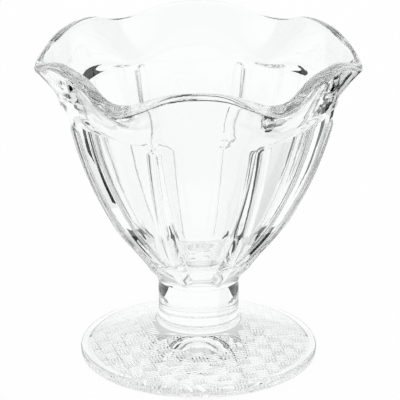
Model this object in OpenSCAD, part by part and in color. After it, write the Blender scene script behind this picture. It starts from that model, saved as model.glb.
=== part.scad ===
// Footed sundae glass in clear pressed glass, in millimetres.
// A bowl with a petalled rim stands on a short round stem and a solid cone foot.
// The three glass pieces meet on flat faces. Z is up and the foot stands on z = 0.
// Angles are measured from the front, which is -Y, towards the right, which is +X.

/* [Foot] */
// Radius of the foot at its widest
foot_r = 40; // [34:0.5:50]
// Thickness of the foot at its edge
foot_edge_t = 4.4; // [3.6:0.2:6]
// Radius of the round along the top of the foot's edge
foot_top_round = 1.8; // [0.8:0.1:2]
// Radius of the round along the bottom of the foot's edge
foot_bottom_round = 1.4; // [0.6:0.1:1.5]
// Height of the foot's sloping top where it would meet the stem
foot_cone_h = 12.8; // [9:0.2:18]
// Height of the neck that leads from the sloping top up to the stem
neck_h = 2.2; // [2:0.1:6]
// How far the neck's hollow curve reaches out over the sloping top
neck_reach = 2.2; // [2:0.1:8]
// Width of the flat ring that the foot stands on
ring_w = 2; // [1:0.1:4]
// Depth of the shallow recess inside the standing ring
recess_d = 0.9; // [0.4:0.1:1.6]

/* [Stem] */
// Radius of the stem
stem_r = 13.65; // [10:0.05:16]
// Height of the stem between foot and bowl
stem_h = 12.7; // [6:0.1:20]

/* [Bowl] */
// How far the bowl's underside stands out past the stem
bowl_overhang = 0.4; // [0.2:0.1:2]
// Height of the fluted body, from the bowl's underside to its shoulder at the lips
body_h = 62.3; // [50:0.5:75]
// Radius that the wall's curve bends towards at half the body's height
belly_r = 39; // [34:0.5:44]
// How far the wall is drawn in above the bowl's underside
waist_d = 1.7; // [0:0.1:3]
// Height above the underside up to which the wall is drawn in
waist_h = 24; // [16:0.5:36]
// Radius of the body at its shoulder
shoulder_r = 46; // [42:0.5:52]
// Thickness of the bowl's wall
bowl_wall = 5.6; // [3.5:0.1:7]
// Thickness of the glass between the bowl's inside and the stem
bowl_floor_t = 3.5; // [2.5:0.1:9]
// Height on the outer wall, above the bowl's floor, from which the inside rounds off into it
floor_round = 6.5; // [3:0.1:9]

/* [Rim] */
// Number of petals round the rim
petals = 6; // [4:1:10]
// How much higher the shoulder runs under a petal than under a lip
shoulder_rise = 5; // [0:0.5:8]
// Height from the shoulder to the rim's outer edge at a petal
petal_rise = 13; // [9:0.2:20]
// How far a petal's outer edge stands out from the shoulder
petal_flare = 4.9; // [0:0.1:8]
// Height from the shoulder to the rim's outer edge at a lip, between two petals
lip_rise = 11.6; // [9:0.2:18]
// How far a lip's outer edge stands out from the shoulder
lip_flare = 8.2; // [4:0.1:12]
// How full a petal stays towards its lips, from 0 for an even wave
petal_fullness = 0.8; // [0:0.05:0.9]
// Height above the shoulder over which the flare still follows the body
flare_lead = 4.8; // [2:0.1:7]
// Thickness of the wall at the rim
rim_wall = 4.5; // [3:0.1:6]
// Height of the rounding on top of the rim
rim_round = 1.2; // [0.5:0.1:2]

/* [Ribs and panels] */
// Number of ribs round the body
ribs = 8; // [5:1:10]
// Angle of the panel that faces the front
panel_turn = 4; // [-22:0.5:22]
// Width of a rib at its top
rib_top_w = 3.8; // [2:0.1:5]
// Width of a rib at its foot
rib_foot_w = 6; // [3:0.1:7]
// How far a rib stands out from the body
rib_h = 1.2; // [0.5:0.1:2]
// Gap between a rib's top and the shoulder at the lips
rib_top_gap = 0.5; // [0.2:0.1:4]
// Height of a rib's foot above the bowl's underside
rib_foot_gap = 2.5; // [1:0.1:6]
// Depth of a panel's hollow between two ribs, at the top of the panel
panel_dip = 1.8; // [0:0.1:3]

/* [Hidden] */
$fn = 96;

glass = [0.9, 0.94, 0.94, 0.45];

// Heights of the two joints, measured from the table
foot_h = foot_cone_h + neck_h;
bowl_z = foot_h + stem_h;
bowl_base_r = stem_r + bowl_overhang;

// Rows and columns of the bowl's surface
rib_columns = [-1, -0.75, 0, 0.75, 1];
panel_steps = 8;
body_steps = 14;
shoulder_steps = 3;
flare_steps = 5;
rim_steps = 4;
inside_steps = 8;
floor_steps = 4;

// Steps of the rounds on the foot's edge and of its neck
round_steps = 6;
neck_steps = 8;

// Height on the outer wall where the inside leaves it for the floor
floor_start_h = bowl_floor_t + floor_round;

// A point on the curve from a to c that leaves a towards b and reaches c from b
function bend(a, b, c, t) = a * pow(1 - t, 2) + b * 2 * t * (1 - t) + c * t * t;
// The curve's direction at the same place
function bend_way(a, b, c, t) = (b - a) * (1 - t) + (c - b) * t;
function mix(a, b, t) = a + (b - a) * t;
function unit(v) = v / norm(v);
function clamp01(t) = min(1, max(0, t));
function ease(t) = t * t * (3 - 2 * t);
// Outward side of a wall that runs along way
function side(way) = [unit(way)[1], -unit(way)[0]];

// Points of an arc of radius r round centre, from one angle to another
function arc(centre, r, from, to, steps) = [
    for (i = [0 : steps]) centre + r * [cos(mix(from, to, i / steps)), sin(mix(from, to, i / steps))]
];

// Waist: how far the wall is drawn in, 0 at the underside and at waist_h, and its slope
// The factor brings the curve's peak to waist_d
waist_peak = 27 / 4;
function waist(u) = waist_d * waist_peak * u * pow(1 - u, 2);
function waist_slope(u) = waist_d * waist_peak * (1 - u) * (1 - 3 * u) / waist_h;

// Body of the bowl: radius and slope at a height above the bowl's underside
function body_r(h) = bend(bowl_base_r, belly_r, shoulder_r, h / body_h) - waist(clamp01(h / waist_h));
function body_slope(h) = 2 * bend_way(bowl_base_r, belly_r, shoulder_r, h / body_h) / body_h
    - waist_slope(clamp01(h / waist_h));

// Rim: 1 at the middle of a petal and 0 at the middle of a lip
function wave(angle) = (1 + cos(petals * angle)) / 2;
function petal(angle) = wave(angle) * (1 + petal_fullness * (1 - wave(angle)));
function shoulder_h(angle) = body_h + shoulder_rise * petal(angle);

// The flare's three guiding points, as radius and height
function flare_from(angle) = [body_r(shoulder_h(angle)), shoulder_h(angle)];
function flare_bend(angle) =
    flare_from(angle) + flare_lead * [body_slope(shoulder_h(angle)), 1];
function flare_to(angle) = [
    shoulder_r + mix(lip_flare, petal_flare, petal(angle)),
    mix(body_h + lip_rise, body_h + shoulder_rise + petal_rise, petal(angle))
];
function flare(angle, t) = bend(flare_from(angle), flare_bend(angle), flare_to(angle), t);
function flare_side(angle, t) =
    side(bend_way(flare_from(angle), flare_bend(angle), flare_to(angle), t));

// Ribs: half width at a height, where the ends round off, and the height of the bead
rib_low = rib_foot_gap;
rib_high = body_h - rib_top_gap;
function rib_half(h) = mix(rib_foot_w, rib_top_w, clamp01(h / body_h)) / 2;
function rib_end(h) = max(
    0,
    1 - (h - rib_low) / rib_half(rib_low),
    1 - (rib_high - h) / rib_half(rib_high)
);
function bead(x, h) = rib_h * max(0, 1 - x * x - pow(rib_end(h), 2));

// Panels: depth of the hollow across a panel, from -1 to 1, fading out at the shoulder
function panel_depth(x, h, angle) = panel_dip * (1 - x * x) * clamp01(h / rib_high)
    * ease(clamp01((shoulder_h(angle) - h) / (shoulder_h(angle) - rib_high)));

// Columns round the bowl: each is a rib number, a place across the rib, and a place across the panel
columns = [
    for (k = [0 : ribs - 1]) each concat(
        [for (x = rib_columns) [k, x, -1]],
        [for (i = [1 : panel_steps - 1]) [k, 1, 2 * i / panel_steps - 1]]
    )
];
pitch = 360 / ribs;
function rib_half_angle(h) = rib_half(h) / body_r(h) * 180 / PI;
function column_angle(c, h) = panel_turn + (c[0] - 0.5) * pitch + c[1] * rib_half_angle(h)
    + (c[2] + 1) / 2 * (pitch - 2 * rib_half_angle(h));

// One point of the bowl from an angle and a radius and height
function at(angle, rh) = [rh[0] * sin(angle), -rh[0] * cos(angle), rh[1]];

function body_point(c, h, angle) =
    at(angle, [body_r(h) + (c[2] > -1 ? -panel_depth(c[2], h, angle) : bead(c[1], h)), h]);
function rim_point(angle, turn) = at(
    angle,
    flare(angle, 1) - flare_side(angle, 1) * rim_wall * (1 - cos(turn)) / 2
        + [-flare_side(angle, 1)[1], flare_side(angle, 1)[0]] * rim_round * sin(turn)
);
function inside_body(h) = [body_r(h), h] - bowl_wall * side([body_slope(h), 1]);

// Rows of the bowl, from its underside up the outside, over the rim and down the inside
function body_rows() = [
    for (i = [-1 : body_steps])
        let (h = i < 0 ? 0 : mix(rib_low, rib_high, (1 - cos(180 * i / body_steps)) / 2))
        [for (c = columns) body_point(c, h, column_angle(c, h))]
];
function shoulder_rows() = [
    for (i = [1 : shoulder_steps - 1]) [
        for (c = columns)
            let (angle = column_angle(c, rib_high))
            body_point(c, mix(rib_high, shoulder_h(angle), i / shoulder_steps), angle)
    ]
];
function flare_rows() = [
    for (i = [0 : flare_steps])
        [for (c = columns) let (angle = column_angle(c, rib_high)) at(angle, flare(angle, i / flare_steps))]
];
function rim_rows() = [
    for (i = [1 : rim_steps - 1])
        [for (c = columns) rim_point(column_angle(c, rib_high), 180 * i / rim_steps)]
];
function inside_flare_rows() = [
    for (i = [flare_steps : -1 : 1]) [
        for (c = columns)
            let (angle = column_angle(c, rib_high), t = i / flare_steps)
            at(angle, flare(angle, t) - flare_side(angle, t) * mix(bowl_wall, rim_wall, t))
    ]
];
function inside_rows() = [
    for (i = [inside_steps : -1 : 0]) [
        for (c = columns)
            let (angle = column_angle(c, rib_high))
            at(angle, inside_body(mix(floor_start_h, shoulder_h(angle), i / inside_steps)))
    ]
];
function floor_rows() =
    let (
        from = inside_body(floor_start_h),
        corner = [from[0] - (from[1] - bowl_floor_t) * body_slope(floor_start_h), bowl_floor_t]
    )
    [
        for (i = [1 : floor_steps - 1]) [
            for (c = columns)
                at(column_angle(c, rib_high), bend(from, corner, [0, bowl_floor_t], i / floor_steps))
        ]
    ];

module bowl() {
    rows = concat(
        body_rows(),
        shoulder_rows(),
        flare_rows(),
        rim_rows(),
        inside_flare_rows(),
        inside_rows(),
        floor_rows()
    );
    n = len(columns);
    last = len(rows) - 1;
    points = concat([for (row = rows) each row], [[0, 0, bowl_floor_t]]);
    underside = [[for (j = [0 : n - 1]) j]];
    walls = [
        for (i = [0 : last - 1], j = [0 : n - 1])
            let (a = i * n + j, b = i * n + (j + 1) % n)
            each [[a, a + n, b + n], [a, b + n, b]]
    ];
    floor_fan = [for (j = [0 : n - 1]) [last * n + j, len(points) - 1, last * n + (j + 1) % n]];
    color(glass)
        translate([0, 0, bowl_z])
            polyhedron(points, concat(underside, walls, floor_fan));
}

module stem() {
    color(glass)
        translate([0, 0, foot_h])
            cylinder(h = stem_h, r = stem_r);
}

module foot() {
    slope = atan2(foot_cone_h - foot_edge_t, foot_r - stem_r);
    neck_foot = [stem_r, foot_cone_h] + neck_reach * [cos(slope), -sin(slope)];
    ring_in_r = foot_r - foot_bottom_round - ring_w;
    bottom_centre = [foot_r - foot_bottom_round, foot_bottom_round];
    top_centre = [foot_r - foot_top_round, foot_edge_t - foot_top_round];
    outline = concat(
        [[0, recess_d], [ring_in_r - recess_d, recess_d], [ring_in_r, 0]],
        arc(bottom_centre, foot_bottom_round, -90, 0, round_steps),
        arc(top_centre, foot_top_round, 0, 90 - slope, round_steps),
        [for (i = [0 : neck_steps]) bend(neck_foot, [stem_r, foot_cone_h], [stem_r, foot_h], i / neck_steps)],
        [[0, foot_h]]
    );
    color(glass)
        rotate_extrude()
            polygon(outline);
}

bowl();
stem();
foot();
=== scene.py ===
# Footed sundae glass in clear pressed glass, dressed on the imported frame.
# Lengths are in millimetres until a mesh is placed. Angles are in degrees from the front, which is -Y.
import math

import bpy
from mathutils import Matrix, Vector


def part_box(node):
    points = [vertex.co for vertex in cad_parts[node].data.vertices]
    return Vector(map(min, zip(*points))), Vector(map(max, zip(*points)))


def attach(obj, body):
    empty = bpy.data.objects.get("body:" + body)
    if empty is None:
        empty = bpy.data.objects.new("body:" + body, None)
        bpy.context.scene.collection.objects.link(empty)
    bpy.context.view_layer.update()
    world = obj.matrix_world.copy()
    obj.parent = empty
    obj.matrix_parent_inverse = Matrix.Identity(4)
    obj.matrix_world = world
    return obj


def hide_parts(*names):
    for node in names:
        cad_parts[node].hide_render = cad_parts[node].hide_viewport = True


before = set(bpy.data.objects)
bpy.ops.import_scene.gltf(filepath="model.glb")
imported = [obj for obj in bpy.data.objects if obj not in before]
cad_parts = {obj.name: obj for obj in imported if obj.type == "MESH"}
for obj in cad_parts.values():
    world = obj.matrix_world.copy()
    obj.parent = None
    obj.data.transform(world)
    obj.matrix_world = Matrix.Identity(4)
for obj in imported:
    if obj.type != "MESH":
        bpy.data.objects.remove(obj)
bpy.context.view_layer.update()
MM = 0.001

# Sizes that the frame gives
foot_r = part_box("foot")[1].x / MM
foot_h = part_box("foot")[1].z / MM
stem_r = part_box("stem")[1].x / MM
bowl_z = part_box("bowl")[0].z / MM

# Foot
foot_edge_t = 4.4
foot_top_round = 1.8
foot_bottom_round = 1.4
foot_cone_h = 12.8
neck_reach = 2.2
ring_w = 2.0
recess_d = 0.9

# Hatching under the foot: square patches of ridges that change direction from patch to patch
hatch_in_r = 13.4
hatch_out_r = 35.6
hatch_turn = 16.0
patch = 4.4
patch_ridges = 4
ridge_w = 1.0
ridge_h = 0.28
ridge_sink = 0.4
ridge_gap = 0.15
ridge_shortest = 1.2
ridge_square = 0.35

# Bowl
bowl_overhang = 0.4
bowl_edge_round = 0.3
body_h = 62.3
belly_r = 39.0
waist_d = 1.7
waist_h = 24.0
shoulder_r = 46.0
bowl_wall = 5.6
bowl_floor_t = 3.5
floor_round = 6.5

# Rim, whose smooth edge is eased back to stay inside the frame's box
petals = 6
petal_fullness = 0.8
shoulder_rise = 5.0
petal_rise = 13.0
petal_flare = 4.9
lip_rise = 11.6
lip_flare = 8.2
flare_lead = 4.8
rim_wall = 4.5
rim_round = 1.2
rim_ease = 0.07

# Ribs and panels
ribs = 8
panel_turn = 4.0
rib_top_w = 3.8
rib_foot_w = 6.0
rib_h = 1.2
rib_top_gap = 0.5
rib_foot_gap = 2.5
panel_dip = 1.8

# How finely the glass is drawn
turned_sides = 192
arc_steps = 8
edge_steps = 3
cone_steps = 6
neck_steps = 12
stem_steps = 8
rib_steps = 10
panel_steps = 14
body_steps = 56
shoulder_steps = 6
flare_steps = 16
rim_steps = 14
inside_steps = 30
floor_steps = 12
ridge_sides = 8
ridge_rings = 6
merge_reach = 0.001
smooth_angle = 50.0

# Glass and its joints
glass_tint = "fdfefe"
glass_ior = 1.52
ripple_w = 7.0
ripple_h = 0.03
ripple_detail = 2.0
haze_w = 3.0
haze_detail = 3.0
haze_from, haze_full = 0.5, 0.75
haze_most = 0.03
joint_reach = 0.001
joint_level = 0.999

# White floor, and black cards on it by their left, right, near and far edges
floor_size = 8000.0
floor_white = "fcfcfc"
floor_roughness = 0.9
floor_glow = 0.97
card_black = "161616"
flag_z = 0.2
flag_places = {
    "flag_left_side": (-150, -75, 8, 27),
    "flag_left_flare": (-160, -105, 40, 100),
    "flag_left_stem": (-51, -41, -10, 45),
    "flag_left_neck": (-43, -30, 30, 54),
    "flag_left_edge": (-41, -35, 20, 30),
    "flag_left_room": (-200, -112, 300, 900),
    "flag_right_front": (53, 150, -40, 0),
    "flag_right_stem": (41, 53, -40, 45),
    "flag_right_neck": (30, 43, 30, 54),
    "flag_right_edge": (35, 41, 20, 30),
    "flag_right_side": (70, 85, 70, 140),
    "flag_right_flare": (85, 200, 100, 180),
    "flag_right_room": (108, 125, 300, 600),
}

# Grey band round the room: fuller by the sine of the angle aside, and placed by that of the height
white = "ffffff"
black = "000000"
wall_grey = "959595"
wall_from, wall_full = 0.55, 0.75
wall_least = 0.5
wall_heights = ((0.12, black), (0.2, white), (0.64, white), (0.74, black))

# Camera, fitted to the photo's frame
frame_px = 400
target_h = 50.0
camera_distance = 1225.5
camera_elevation = 21.38
focal_px = 3645.4
target_px = (198.6, 214.67)
sensor_w = 36.0
clip_near, clip_far = 50.0, 50000.0

# How often light is followed through the thick glass, off its faces and through its joints
glass_bounces = 24
glossy_bounces = 11
joint_bounces = 16


def mix(a, b, t):
    return a + (b - a) * t


def bend(a, b, c, t):
    """A point on the curve from a to c that leaves a towards b and reaches c from b."""
    return a * (1 - t) ** 2 + b * (2 * t * (1 - t)) + c * t * t


def bend_way(a, b, c, t):
    """The direction of that curve at the same place."""
    return (b - a) * (1 - t) + (c - b) * t


def outward(way):
    """Outward side of a wall that runs along way, as radius and height."""
    unit = way.normalized()
    return Vector((unit.y, -unit.x))


def clamp01(t):
    return min(1.0, max(0.0, t))


def ease(t):
    return t * t * (3 - 2 * t)


def sin(angle):
    return math.sin(math.radians(angle))


def cos(angle):
    return math.cos(math.radians(angle))


def arc(centre, r, start, end, steps=arc_steps):
    """Points of an arc of radius r round centre, from one angle to another."""
    return [centre + r * Vector((cos(mix(start, end, i / steps)), sin(mix(start, end, i / steps))))
            for i in range(steps + 1)]


def at(angle, r, h):
    """The point at an angle, a radius and a height."""
    return Vector((r * sin(angle), -r * cos(angle), h))


# Body of the bowl, by the height above its underside
bowl_base_r = stem_r + bowl_overhang
floor_start_h = bowl_floor_t + floor_round
rib_low = rib_foot_gap
rib_high = body_h - rib_top_gap
pitch = 360 / ribs
waist_peak = 27 / 4


def waist(u):
    """How far the wall is drawn in; the factor brings the curve's peak to waist_d."""
    return waist_d * waist_peak * u * (1 - u) ** 2


def waist_slope(u):
    return waist_d * waist_peak * (1 - u) * (1 - 3 * u) / waist_h


def body_r(h):
    return bend(bowl_base_r, belly_r, shoulder_r, h / body_h) - waist(clamp01(h / waist_h))


def body_slope(h):
    way = bend_way(bowl_base_r, belly_r, shoulder_r, h / body_h)
    return 2 * way / body_h - waist_slope(clamp01(h / waist_h))


def inside_body(h):
    return Vector((body_r(h), h)) - bowl_wall * outward(Vector((body_slope(h), 1)))


# Rim, by the angle from the front
def petal(angle):
    """1 at the middle of a petal and 0 at the middle of a lip."""
    wave = (1 + cos(petals * angle)) / 2
    return wave * (1 + petal_fullness * (1 - wave))


def shoulder_h(angle):
    return body_h + shoulder_rise * petal(angle)


def flare_guides(angle):
    """The three points that guide the flare's outer side, as radius and height."""
    h = shoulder_h(angle)
    start = Vector((body_r(h), h))
    lead = start + flare_lead * Vector((body_slope(h), 1))
    edge_r = shoulder_r + mix(lip_flare, petal_flare, petal(angle))
    edge_h = mix(body_h + lip_rise, body_h + shoulder_rise + petal_rise, petal(angle))
    return start, lead, Vector((edge_r - rim_ease, edge_h - rim_ease))


def flare(angle, t):
    return bend(*flare_guides(angle), t)


def flare_side(angle, t):
    return outward(bend_way(*flare_guides(angle), t))


def inside_flare(angle, t):
    return flare(angle, t) - flare_side(angle, t) * mix(bowl_wall, rim_wall, t)


def rim_point(angle, turn):
    """A point on the round top of the rim, from its outer to its inner side."""
    side = flare_side(angle, 1)
    way = Vector((-side.y, side.x))
    return flare(angle, 1) - side * (rim_wall * (1 - cos(turn)) / 2) + way * (rim_round * sin(turn))


# Ribs and panels
def rib_half(h):
    return mix(rib_foot_w, rib_top_w, clamp01(h / body_h)) / 2


def rib_half_angle(h):
    return math.degrees(rib_half(h) / body_r(h))


def bead(x, h):
    """Height of a rib's round bead, x across the rib from -1 to 1."""
    low_end = 1 - (h - rib_low) / rib_half(rib_low)
    high_end = 1 - (rib_high - h) / rib_half(rib_high)
    end = max(0, low_end, high_end)
    return rib_h * max(0, 1 - x * x - end * end)


def panel_depth(x, h, angle):
    """Depth of a panel's hollow, x across the panel from -1 to 1."""
    fade = clamp01((shoulder_h(angle) - h) / (shoulder_h(angle) - rib_high))
    return panel_dip * (1 - x * x) * clamp01(h / rib_high) * ease(fade)


def column_angle(column, h):
    k, rib_x, panel_x = column
    half = rib_half_angle(h)
    return panel_turn + (k - 0.5) * pitch + rib_x * half + (panel_x + 1) / 2 * (pitch - 2 * half)


def body_point(column, h, angle):
    _, rib_x, panel_x = column
    stand = bead(rib_x, h) if panel_x == -1 else -panel_depth(panel_x, h, angle)
    return at(angle, body_r(h) + stand, h)


def bowl_columns():
    """Columns round the bowl: each is a rib's number, a place across the rib and a place across the panel."""
    across_rib = [-cos(180 * i / rib_steps) for i in range(rib_steps + 1)]
    across_panel = [2 * i / panel_steps - 1 for i in range(1, panel_steps)]
    columns = []
    for k in range(ribs):
        columns += [(k, x, -1.0) for x in across_rib]
        columns += [(k, 1.0, x) for x in across_panel]
    return columns


def underside_rows(columns):
    edge_centre = Vector((bowl_base_r - bowl_edge_round, bowl_edge_round))
    outline = [(0, 0), (stem_r, 0), *arc(edge_centre, bowl_edge_round, -90, 0, edge_steps)]
    return [[at(column_angle(c, 0), *p) for c in columns] for p in outline]


def body_rows(columns, angles):
    rows = []
    for i in range(body_steps + 1):
        h = mix(rib_low, rib_high, (1 - cos(180 * i / body_steps)) / 2)
        rows.append([body_point(c, h, column_angle(c, h)) for c in columns])
    for i in range(1, shoulder_steps):
        rows.append([body_point(c, mix(rib_high, shoulder_h(a), i / shoulder_steps), a)
                     for c, a in zip(columns, angles)])
    return rows


def rim_rows(angles):
    rows = [[at(a, *flare(a, i / flare_steps)) for a in angles] for i in range(flare_steps + 1)]
    rows += [[at(a, *rim_point(a, 180 * i / rim_steps)) for a in angles] for i in range(1, rim_steps)]
    rows += [[at(a, *inside_flare(a, i / flare_steps)) for a in angles] for i in range(flare_steps, 0, -1)]
    return rows


def inside_rows(angles):
    rows = []
    for i in range(inside_steps, -1, -1):
        heights = [mix(floor_start_h, shoulder_h(a), i / inside_steps) for a in angles]
        rows.append([at(a, *inside_body(h)) for a, h in zip(angles, heights)])
    floor_edge = inside_body(floor_start_h)
    corner_r = floor_edge.x - (floor_edge.y - bowl_floor_t) * body_slope(floor_start_h)
    corner = Vector((corner_r, bowl_floor_t))
    middle = Vector((0, bowl_floor_t))
    for i in range(1, floor_steps + 1):
        p = bend(floor_edge, corner, middle, i / floor_steps)
        rows.append([at(a, *p) for a in angles])
    return rows


def bowl_rows():
    """Rows of the bowl's surface, from under its middle up the outside, over the rim and down the inside."""
    columns = bowl_columns()
    angles = [column_angle(c, rib_high) for c in columns]
    return underside_rows(columns) + body_rows(columns, angles) + rim_rows(angles) + inside_rows(angles)


def stem_outline():
    side = [Vector((stem_r, mix(foot_h, bowl_z, i / stem_steps))) for i in range(stem_steps + 1)]
    return [Vector((0, foot_h)), *side, Vector((0, bowl_z))]


def foot_outline():
    """The foot's section, from under its middle round the edge and up the neck."""
    slope = math.degrees(math.atan2(foot_cone_h - foot_edge_t, foot_r - stem_r))
    crown = Vector((stem_r, foot_cone_h))
    neck_foot = crown + neck_reach * Vector((cos(slope), -sin(slope)))
    neck_top = Vector((stem_r, foot_h))
    ring_in_r = foot_r - foot_bottom_round - ring_w
    bottom_centre = Vector((foot_r - foot_bottom_round, foot_bottom_round))
    top_centre = Vector((foot_r - foot_top_round, foot_edge_t - foot_top_round))
    recess = [Vector((r, recess_d)) for r in (0, hatch_in_r, ring_in_r - recess_d)]
    bottom_arc = arc(bottom_centre, foot_bottom_round, -90, 0)
    top_arc = arc(top_centre, foot_top_round, 0, 90 - slope)
    cone = [top_arc[-1].lerp(neck_foot, i / cone_steps) for i in range(1, cone_steps)]
    neck = [bend(neck_foot, crown, neck_top, i / neck_steps) for i in range(neck_steps + 1)]
    return [*recess, Vector((ring_in_r, 0)), *bottom_arc, *top_arc, *cone, *neck, Vector((0, foot_h))]


def deselect():
    if bpy.context.object and bpy.context.object.mode != "OBJECT":
        bpy.ops.object.mode_set(mode="OBJECT")
    bpy.ops.object.select_all(action="DESELECT")


def select(piece):
    deselect()
    bpy.context.view_layer.objects.active = piece
    piece.select_set(True)


def close_mesh(piece):
    """Merges the points that fell together, turns the faces outwards and smooths all but the sharp edges."""
    select(piece)
    bpy.ops.object.mode_set(mode="EDIT")
    bpy.ops.mesh.select_all(action="SELECT")
    bpy.ops.mesh.remove_doubles(threshold=merge_reach * MM)
    bpy.ops.mesh.normals_make_consistent(inside=False)
    bpy.ops.object.mode_set(mode="OBJECT")
    bpy.ops.object.shade_smooth_by_angle(angle=math.radians(smooth_angle))


def pressed(name, rows, lift):
    """A closed piece of glass: a grid primitive whose rows are wrapped round the axis."""
    deselect()
    columns = len(rows[0])
    bpy.ops.mesh.primitive_grid_add(x_subdivisions=columns, y_subdivisions=len(rows) - 1, size=1)
    piece = bpy.context.object
    piece.name = piece.data.name = name
    for index, vertex in enumerate(piece.data.vertices):
        row, column = divmod(index, columns + 1)
        vertex.co = (rows[row][column % columns] + Vector((0, 0, lift))) * MM
    close_mesh(piece)
    return piece


def turned(name, outline):
    """A closed piece of glass: a point is extruded along the outline, which is then spun round the axis."""
    deselect()
    bpy.ops.mesh.primitive_plane_add(size=MM)
    piece = bpy.context.object
    piece.name = piece.data.name = name
    bpy.ops.object.mode_set(mode="EDIT")
    bpy.ops.mesh.select_all(action="SELECT")
    bpy.ops.mesh.merge(type="CENTER")
    bpy.ops.transform.translate(value=at(0, *outline[0]) * MM)
    for here, there in zip(outline, outline[1:]):
        bpy.ops.mesh.extrude_vertices_move(TRANSFORM_OT_translate={"value": at(0, *(there - here)) * MM})
    bpy.ops.mesh.select_all(action="SELECT")
    bpy.ops.mesh.spin(steps=turned_sides, angle=2 * math.pi, center=(0, 0, 0), axis=(0, 0, 1))
    bpy.ops.object.mode_set(mode="OBJECT")
    close_mesh(piece)
    return piece


def within(u, v, reach, r):
    """Ends of a line along u, reach to both sides of u and v beside the axis, cut off at r from the axis."""
    half = math.sqrt(max(0, r * r - v * v))
    return max(u - reach, -half), min(u + reach, half)


def hatch_places():
    """Middle, direction and length of each ridge under the foot."""
    steps = math.ceil(hatch_out_r / patch)
    places = []
    for i in range(-steps, steps + 1):
        for j in range(-steps, steps + 1):
            crosswise = (i + j) % 2
            for k in range(patch_ridges):
                across = ((k + 0.5) / patch_ridges - 0.5) * patch
                u, v = (j, -i) if crosswise else (i, j)
                u, v = u * patch, v * patch + across
                start, end = within(u, v, (patch - ridge_gap) / 2, hatch_out_r)
                u = (start + end) / 2
                if end - start > ridge_shortest and math.hypot(u, v) > hatch_in_r:
                    places.append((u, v, hatch_turn + 90 * crosswise, end - start))
    return places


def ridge():
    """One ridge of the hatching, a round-ended bar of length 1 that lies along X."""
    deselect()
    bpy.ops.mesh.primitive_uv_sphere_add(segments=ridge_sides, ring_count=ridge_rings, radius=1)
    bar = bpy.context.object
    bar.name = bar.data.name = "ridge"
    for vertex in bar.data.vertices:
        side, up, end = vertex.co
        along = math.copysign(abs(end) ** ridge_square, end) / 2
        vertex.co = Vector((along, side * ridge_w / 2, up * (ridge_h + ridge_sink) / 2))
    return bar


def ridges():
    """All ridges of the hatching, in their places, as one object."""
    bar = ridge()
    bars = []
    for u, v, turn, length in hatch_places():
        copy = bar.copy()
        copy.data = bar.data.copy()
        copy.scale = Vector((length, 1, 1)) * MM
        copy.rotation_euler.z = math.radians(turn)
        x, y = u * cos(turn) - v * sin(turn), u * sin(turn) + v * cos(turn)
        copy.location = Vector((x, y, recess_d + (ridge_sink - ridge_h) / 2)) * MM
        bpy.context.scene.collection.objects.link(copy)
        bars.append(copy)
    bpy.data.objects.remove(bar)
    deselect()
    for copy in bars:
        copy.select_set(True)
    bpy.context.view_layer.objects.active = bars[0]
    bpy.ops.object.transform_apply(location=True, rotation=True, scale=True)
    bpy.ops.object.join()
    return bars[0]


def hatch(piece):
    """Presses the ridges onto the underside of the piece."""
    weave = ridges()
    union = piece.modifiers.new("hatch", "BOOLEAN")
    union.operation = "UNION"
    union.solver = "EXACT"
    union.object = weave
    select(piece)
    bpy.ops.object.modifier_apply(modifier=union.name)
    bpy.data.objects.remove(weave)
    close_mesh(piece)


bowl = pressed("bowl_glass", bowl_rows(), bowl_z)
stem = turned("stem_glass", stem_outline())
foot = turned("foot_glass", foot_outline())
hatch(foot)


def linear(hex_colour):
    """An sRGB hex colour as linear red, green, blue and full alpha."""
    values = [int(hex_colour[i:i + 2], 16) / 255 for i in (0, 2, 4)]
    return [v / 12.92 if v <= 0.04045 else ((v + 0.055) / 1.055) ** 2.4 for v in values] + [1.0]


def add_node(tree, kind, settings=None, links=None):
    """Adds a node, sets its properties or inputs by name, and links outputs to inputs by name or number."""
    made = tree.nodes.new(kind)
    for name, value in (settings or {}).items():
        if name in made.inputs:
            made.inputs[name].default_value = value
        else:
            setattr(made, name, value)
    for name, output in (links or {}).items():
        tree.links.new(output, made.inputs[name])
    return made


def pressed_glass():
    """Pressed soda-lime glass: colourless and clear, with the mould's slow ripple and faint haze."""
    material = bpy.data.materials.new("pressed_soda_lime_glass")
    material.use_nodes = True
    tree = material.node_tree
    shader = tree.nodes["Principled BSDF"]
    shader.inputs["Base Color"].default_value = linear(glass_tint)
    shader.inputs["Transmission Weight"].default_value = 1.0
    shader.inputs["IOR"].default_value = glass_ior
    place = add_node(tree, "ShaderNodeTexCoord")
    ripple = add_node(tree, "ShaderNodeTexNoise", {"Scale": 1 / (ripple_w * MM), "Detail": ripple_detail},
                      {"Vector": place.outputs["Object"]})
    bump = add_node(tree, "ShaderNodeBump", {"Strength": 1.0, "Distance": ripple_h * MM},
                    {"Height": ripple.outputs["Fac"]})
    tree.links.new(bump.outputs["Normal"], shader.inputs["Normal"])
    patches = add_node(tree, "ShaderNodeTexNoise", {"Scale": 1 / (haze_w * MM), "Detail": haze_detail},
                       {"Vector": place.outputs["Object"]})
    haze = add_node(tree, "ShaderNodeMapRange",
                    {"From Min": haze_from, "From Max": haze_full, "To Max": haze_most},
                    {"Value": patches.outputs["Fac"]})
    tree.links.new(haze.outputs["Result"], shader.inputs["Roughness"])
    return material


def fused_joint():
    """Fused glass: there is no surface to see where two pieces meet, so these faces let all light by."""
    material = bpy.data.materials.new("fused_glass_joint")
    material.use_nodes = True
    material.node_tree.nodes["Principled BSDF"].inputs["Alpha"].default_value = 0.0
    return material


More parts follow.
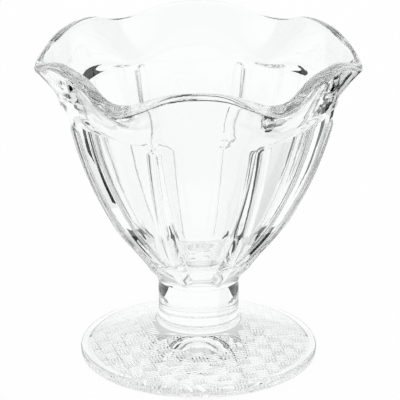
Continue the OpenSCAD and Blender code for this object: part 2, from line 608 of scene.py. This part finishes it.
def mark_joints(piece):
    """Gives the second material to the faces where the piece is fused to the next one."""
    for face in piece.data.polygons:
        on_joint = min(abs(face.center.z - z * MM) for z in (foot_h, bowl_z)) < joint_reach * MM
        level = abs(face.normal.z) > joint_level
        in_stem = face.center.xy.length < stem_r * MM
        face.material_index = int(on_joint and level and in_stem)


glass = pressed_glass()
joint = fused_joint()
for piece, node in ((bowl, "bowl"), (stem, "stem"), (foot, "foot")):
    piece.data.materials.append(glass)
    piece.data.materials.append(joint)
    mark_joints(piece)
    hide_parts(node)
    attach(piece, "root")


def white_sheet():
    """White studio paper: matt, shown white to the camera and through the glass, with a trace of shadow."""
    material = bpy.data.materials.new("white_studio_sheet")
    material.use_nodes = True
    tree = material.node_tree
    sheet = tree.nodes["Principled BSDF"]
    sheet.inputs["Base Color"].default_value = linear(floor_white)
    sheet.inputs["Roughness"].default_value = floor_roughness
    sheet.inputs["Specular IOR Level"].default_value = 0.0
    path = add_node(tree, "ShaderNodeLightPath")
    by_glass = add_node(tree, "ShaderNodeMath", {"operation": "MAXIMUM"},
                        {0: path.outputs["Is Glossy Ray"], 1: path.outputs["Is Transmission Ray"]})
    seen = add_node(tree, "ShaderNodeMath", {"operation": "MAXIMUM"},
                    {0: path.outputs["Is Camera Ray"], 1: by_glass.outputs["Value"]})
    share = add_node(tree, "ShaderNodeMapRange", {"To Max": floor_glow}, {"Value": seen.outputs["Value"]})
    glow = add_node(tree, "ShaderNodeEmission", {"Color": linear(white), "Strength": 1.0})
    both = add_node(tree, "ShaderNodeMixShader", None,
                    {0: share.outputs["Result"], 1: sheet.outputs["BSDF"], 2: glow.outputs["Emission"]})
    tree.links.new(both.outputs["Shader"], tree.nodes["Material Output"].inputs["Surface"])
    return material


def floor():
    deselect()
    bpy.ops.mesh.primitive_plane_add(size=floor_size * MM)
    plane = bpy.context.object
    plane.name = plane.data.name = "floor"
    plane.data.materials.append(white_sheet())


def black_card():
    """Black card: dead matt, so that it shows in the glass as a plain dark line."""
    material = bpy.data.materials.new("black_card")
    material.use_nodes = True
    paper = material.node_tree.nodes["Principled BSDF"]
    paper.inputs["Base Color"].default_value = linear(card_black)
    paper.inputs["Specular IOR Level"].default_value = 0.0
    return material


def flags():
    """Black cards beside the glass, out of the picture, that give its edges their dark lines."""
    material = black_card()
    for name, (x0, x1, y0, y1) in flag_places.items():
        deselect()
        bpy.ops.mesh.primitive_plane_add(size=1)
        card = bpy.context.object
        card.name = card.data.name = name
        for vertex in card.data.vertices:
            x, y, z = vertex.co
            vertex.co = Vector((mix(x0, x1, x + 0.5), mix(y0, y1, y + 0.5), flag_z)) * MM
        card.data.materials.append(material)
        card.visible_camera = card.visible_diffuse = card.visible_shadow = False


def studio():
    """A white room that lights the glass softly from all round, with a grey band fuller at both sides."""
    world = bpy.data.worlds.new("studio")
    bpy.context.scene.world = world
    world.use_nodes = True
    tree = world.node_tree
    way = add_node(tree, "ShaderNodeTexCoord")
    parts = add_node(tree, "ShaderNodeSeparateXYZ", None, {"Vector": way.outputs["Generated"]})
    aside = add_node(tree, "ShaderNodeMath", {"operation": "ABSOLUTE"}, {"Value": parts.outputs["X"]})
    wall = add_node(tree, "ShaderNodeMapRange",
                    {"From Min": wall_from, "From Max": wall_full, "To Min": wall_least},
                    {"Value": aside.outputs["Value"]})
    band = add_node(tree, "ShaderNodeValToRGB", None, {"Fac": parts.outputs["Z"]})
    stops = band.color_ramp.elements
    for place, grey in wall_heights:
        stops.new(place).color = linear(grey)
    stops.remove(stops[0])
    stops.remove(stops[-1])
    share = add_node(tree, "ShaderNodeMath", {"operation": "MULTIPLY"},
                     {0: wall.outputs["Result"], 1: band.outputs["Color"]})
    tint = add_node(tree, "ShaderNodeMixRGB", {"Color1": linear(white), "Color2": linear(wall_grey)},
                    {"Fac": share.outputs["Value"]})
    tree.links.new(tint.outputs["Color"], tree.nodes["Background"].inputs["Color"])
    tree.nodes["Background"].inputs["Strength"].default_value = 1.0


def camera():
    target = Vector((0, 0, target_h)) * MM
    back = Vector((0, -cos(camera_elevation), sin(camera_elevation)))
    data = bpy.data.cameras.new("camera")
    made = bpy.data.objects.new("camera", data)
    bpy.context.scene.collection.objects.link(made)
    made.location = target + back * camera_distance * MM
    made.rotation_mode = "QUATERNION"
    made.rotation_quaternion = (-back).to_track_quat("-Z", "Y")
    data.sensor_width = sensor_w
    data.lens = focal_px * sensor_w / frame_px
    data.shift_x = (frame_px / 2 - target_px[0]) / frame_px
    data.shift_y = (target_px[1] - frame_px / 2) / frame_px
    data.clip_start, data.clip_end = clip_near * MM, clip_far * MM
    bpy.context.scene.camera = made


floor()
flags()
studio()
camera()
scene = bpy.context.scene
scene.view_settings.view_transform = "Standard"
scene.cycles.max_bounces = glass_bounces
scene.cycles.transmission_bounces = glass_bounces
scene.cycles.glossy_bounces = glossy_bounces
scene.cycles.transparent_max_bounces = joint_bounces
